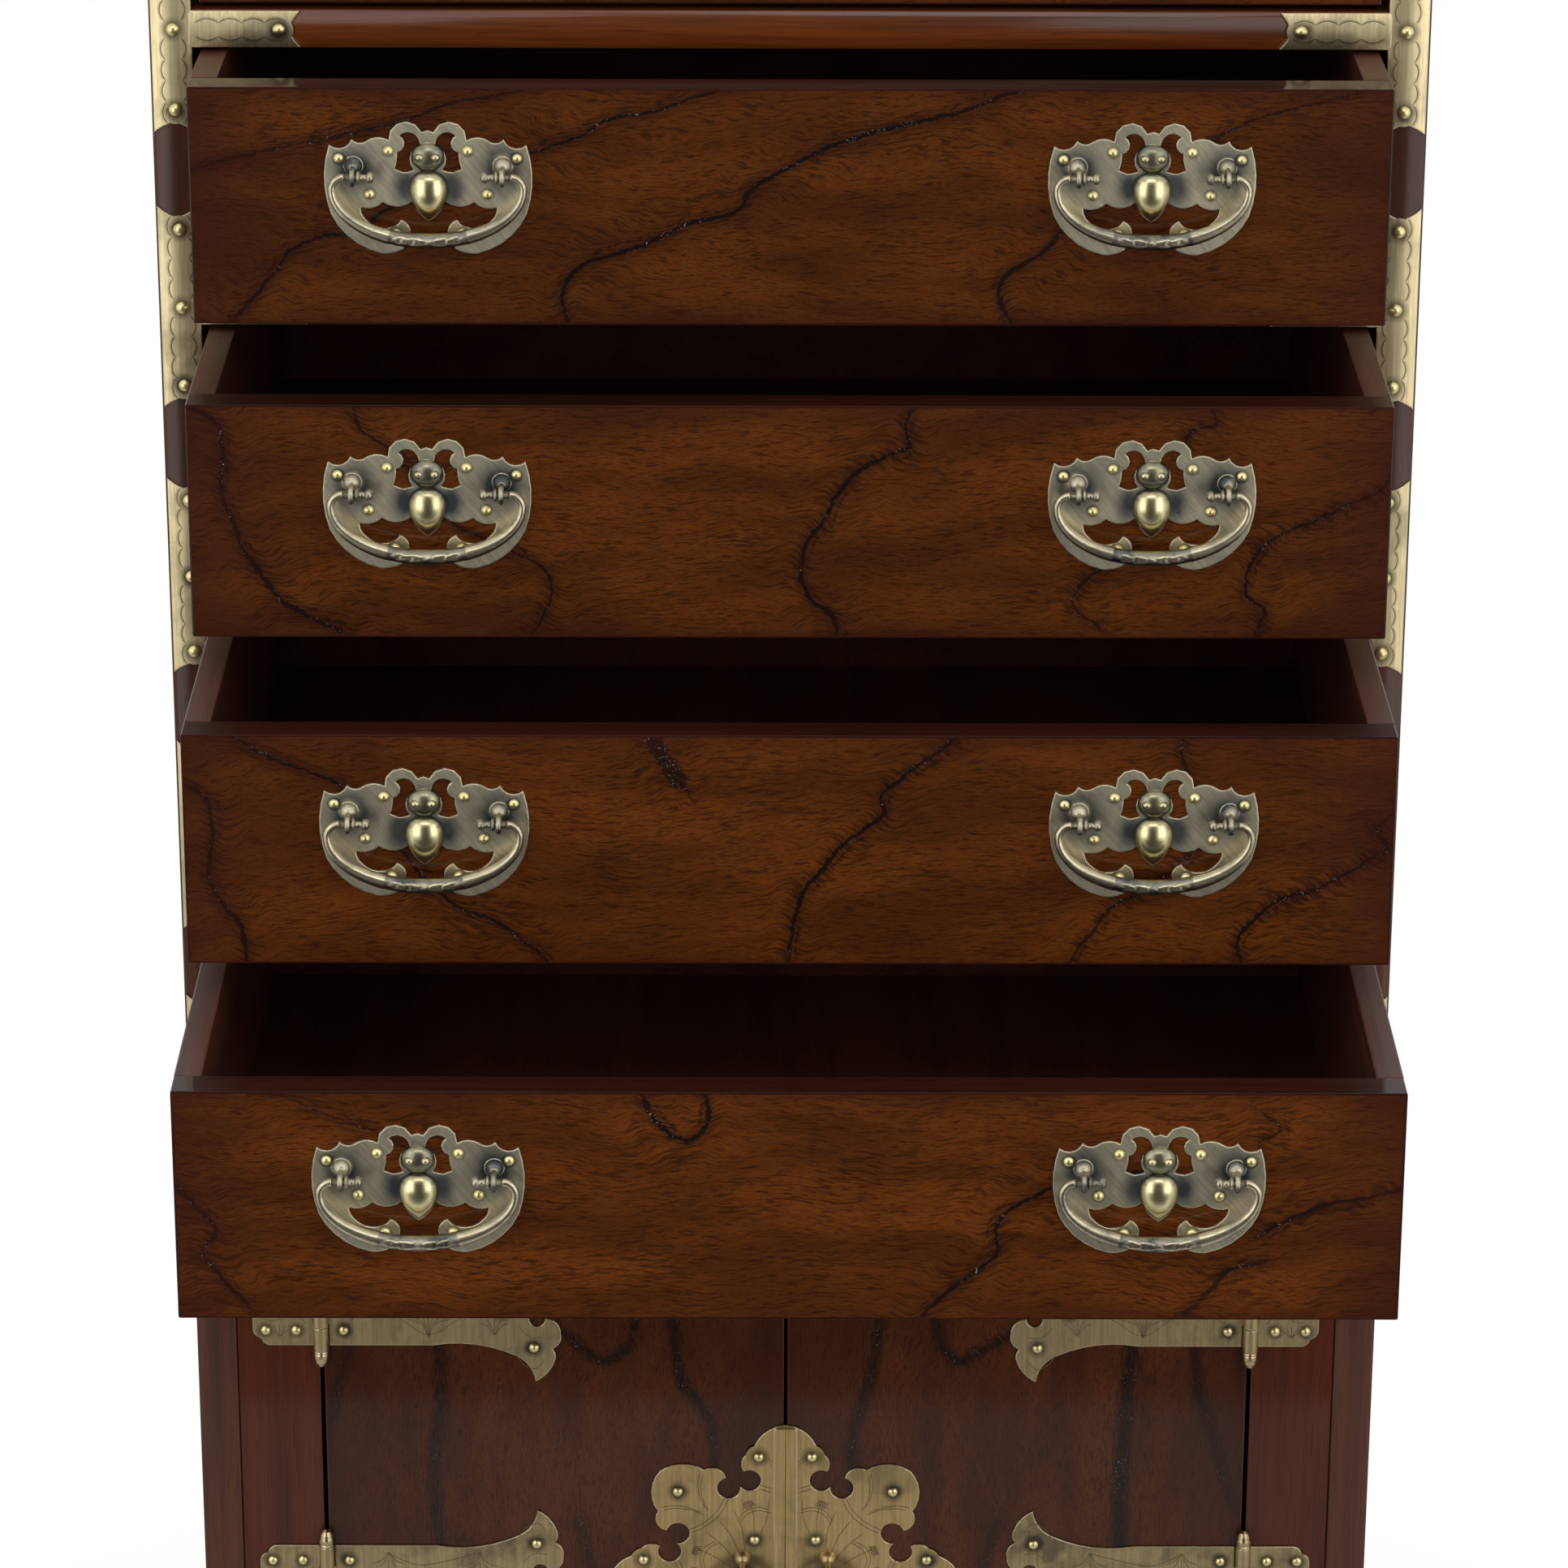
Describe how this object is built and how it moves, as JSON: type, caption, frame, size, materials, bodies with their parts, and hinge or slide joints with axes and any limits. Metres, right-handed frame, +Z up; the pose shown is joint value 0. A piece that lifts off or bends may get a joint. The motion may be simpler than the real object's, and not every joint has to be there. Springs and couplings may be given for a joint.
{
  "type": "chest of drawers",
  "caption": "Tall hardwood chest with drawers over a two-door cabinet, antique brass brackets, strap hinges, a petalled lock plate and bail pulls.",
  "frame": {"origin": "middle of the floor area that the chest covers with its drawers as they stand open", "axes": "+Z up, -Y out of the front, +X to the viewer's right"},
  "size_m": [0.588, 0.6868, 1.315],
  "materials": {
    "case_wood": "gloss lacquer",
    "stile_wood": "gloss lacquer",
    "drawer_veneer": "figured veneer, gloss lacquer",
    "door_wood": "figured veneer, gloss lacquer",
    "inner_wood": "satin stain",
    "brass_mounts": "brushed, antique patina",
    "brass_bails": "cast, antique patina"
  },
  "bodies": {
    "case": {"top_panel": "case_wood", "front_left_post": "case_wood", "front_right_post": "case_wood", "rear_posts": "case_wood", "side_panel_left": "case_wood", "side_panel_right": "case_wood", "top_rail": "case_wood", "drawer_rails": "case_wood", "bottom_rail": "case_wood", "base_front": "case_wood", "base_sides": "case_wood", "base_back": "case_wood", "back_panel": "inner_wood", "drawer_runners_left": "inner_wood", "drawer_runners_right": "inner_wood", "cabinet_ceiling": "inner_wood", "cabinet_floor": "inner_wood", "shelf": "inner_wood", "shelf_cleats": "inner_wood", "base_blocks": "inner_wood", "door_stile_left": "stile_wood", "door_stile_right": "stile_wood", "post_brackets": "brass_mounts", "hinge_leaves": "brass_mounts", "hinge_pins": "brass_mounts"},
    "drawer_1": {"drawer_1_front": "drawer_veneer", "drawer_1_box": "inner_wood", "drawer_1_pull_plates": "brass_mounts"},
    "drawer_1_bail_left": {"drawer_1_bail_left": "brass_bails"},
    "drawer_1_bail_right": {"drawer_1_bail_right": "brass_bails"},
    "drawer_2": {"drawer_2_front": "drawer_veneer", "drawer_2_box": "inner_wood", "drawer_2_pull_plates": "brass_mounts"},
    "drawer_2_bail_left": {"drawer_2_bail_left": "brass_bails"},
    "drawer_2_bail_right": {"drawer_2_bail_right": "brass_bails"},
    "drawer_3": {"drawer_3_front": "drawer_veneer", "drawer_3_box": "inner_wood", "drawer_3_pull_plates": "brass_mounts"},
    "drawer_3_bail_left": {"drawer_3_bail_left": "brass_bails"},
    "drawer_3_bail_right": {"drawer_3_bail_right": "brass_bails"},
    "drawer_4": {"drawer_4_front": "drawer_veneer", "drawer_4_box": "inner_wood", "drawer_4_pull_plates": "brass_mounts"},
    "drawer_4_bail_left": {"drawer_4_bail_left": "brass_bails"},
    "drawer_4_bail_right": {"drawer_4_bail_right": "brass_bails"},
    "drawer_5": {"drawer_5_front": "drawer_veneer", "drawer_5_box": "inner_wood", "drawer_5_pull_plates": "brass_mounts"},
    "drawer_5_bail_left": {"drawer_5_bail_left": "brass_bails"},
    "drawer_5_bail_right": {"drawer_5_bail_right": "brass_bails"},
    "door_left": {"door_left": "door_wood", "hinge_straps_left": "brass_mounts", "lock_plate_left": "brass_mounts"},
    "ring_left": {"ring_pull_left": "brass_bails"},
    "door_right": {"door_right": "door_wood", "hinge_straps_right": "brass_mounts", "lock_plate_right": "brass_mounts"},
    "ring_right": {"ring_pull_right": "brass_bails"}
  },
  "joints": [
    {"name": "drawer_1_slide", "type": "slide", "parent": "case", "child": "drawer_1", "axis": [0, -1, 0], "range_m": [0, 0.3]},
    {"name": "drawer_1_bail_left_swing", "type": "hinge", "parent": "drawer_1", "child": "drawer_1_bail_left", "pos_m": [-0.158, -0.0634, 1.2403], "axis": [-1, 0, 0], "range_deg": [0, 100]},
    {"name": "drawer_1_bail_right_swing", "type": "hinge", "parent": "drawer_1", "child": "drawer_1_bail_right", "pos_m": [0.158, -0.0634, 1.2403], "axis": [-1, 0, 0], "range_deg": [0, 100]},
    {"name": "drawer_2_slide", "type": "slide", "parent": "case", "child": "drawer_2", "axis": [0, -1, 0], "range_m": [-0.068, 0.232]},
    {"name": "drawer_2_bail_left_swing", "type": "hinge", "parent": "drawer_2", "child": "drawer_2_bail_left", "pos_m": [-0.158, -0.1314, 1.1123], "axis": [-1, 0, 0], "range_deg": [0, 100]},
    {"name": "drawer_2_bail_right_swing", "type": "hinge", "parent": "drawer_2", "child": "drawer_2_bail_right", "pos_m": [0.158, -0.1314, 1.1123], "axis": [-1, 0, 0], "range_deg": [0, 100]},
    {"name": "drawer_3_slide", "type": "slide", "parent": "case", "child": "drawer_3", "axis": [0, -1, 0], "range_m": [-0.12, 0.18]},
    {"name": "drawer_3_bail_left_swing", "type": "hinge", "parent": "drawer_3", "child": "drawer_3_bail_left", "pos_m": [-0.158, -0.1834, 0.9843], "axis": [-1, 0, 0], "range_deg": [0, 100]},
    {"name": "drawer_3_bail_right_swing", "type": "hinge", "parent": "drawer_3", "child": "drawer_3_bail_right", "pos_m": [0.158, -0.1834, 0.9843], "axis": [-1, 0, 0], "range_deg": [0, 100]},
    {"name": "drawer_4_slide", "type": "slide", "parent": "case", "child": "drawer_4", "axis": [0, -1, 0], "range_m": [-0.186, 0.114]},
    {"name": "drawer_4_bail_left_swing", "type": "hinge", "parent": "drawer_4", "child": "drawer_4_bail_left", "pos_m": [-0.158, -0.2494, 0.8563], "axis": [-1, 0, 0], "range_deg": [0, 100]},
    {"name": "drawer_4_bail_right_swing", "type": "hinge", "parent": "drawer_4", "child": "drawer_4_bail_right", "pos_m": [0.158, -0.2494, 0.8563], "axis": [-1, 0, 0], "range_deg": [0, 100]},
    {"name": "drawer_5_slide", "type": "slide", "parent": "case", "child": "drawer_5", "axis": [0, -1, 0], "range_m": [-0.276, 0.024]},
    {"name": "drawer_5_bail_left_swing", "type": "hinge", "parent": "drawer_5", "child": "drawer_5_bail_left", "pos_m": [-0.158, -0.3394, 0.7283], "axis": [-1, 0, 0], "range_deg": [0, 100]},
    {"name": "drawer_5_bail_right_swing", "type": "hinge", "parent": "drawer_5", "child": "drawer_5_bail_right", "pos_m": [0.158, -0.3394, 0.7283], "axis": [-1, 0, 0], "range_deg": [0, 100]},
    {"name": "door_left_hinge", "type": "hinge", "parent": "case", "child": "door_left", "pos_m": [-0.225, -0.05755, 0.3835], "axis": [0, 0, -1], "range_deg": [0, 165]},
    {"name": "ring_left_swing", "type": "hinge", "parent": "door_left", "child": "ring_left", "pos_m": [-0.021, -0.0629, 0.3905], "axis": [-1, 0, 0], "range_deg": [0, 100]},
    {"name": "door_right_hinge", "type": "hinge", "parent": "case", "child": "door_right", "pos_m": [0.225, -0.05755, 0.3835], "axis": [0, 0, 1], "range_deg": [0, 165]},
    {"name": "ring_right_swing", "type": "hinge", "parent": "door_right", "child": "ring_right", "pos_m": [0.021, -0.0629, 0.3905], "axis": [-1, 0, 0], "range_deg": [0, 100]}
  ]
}
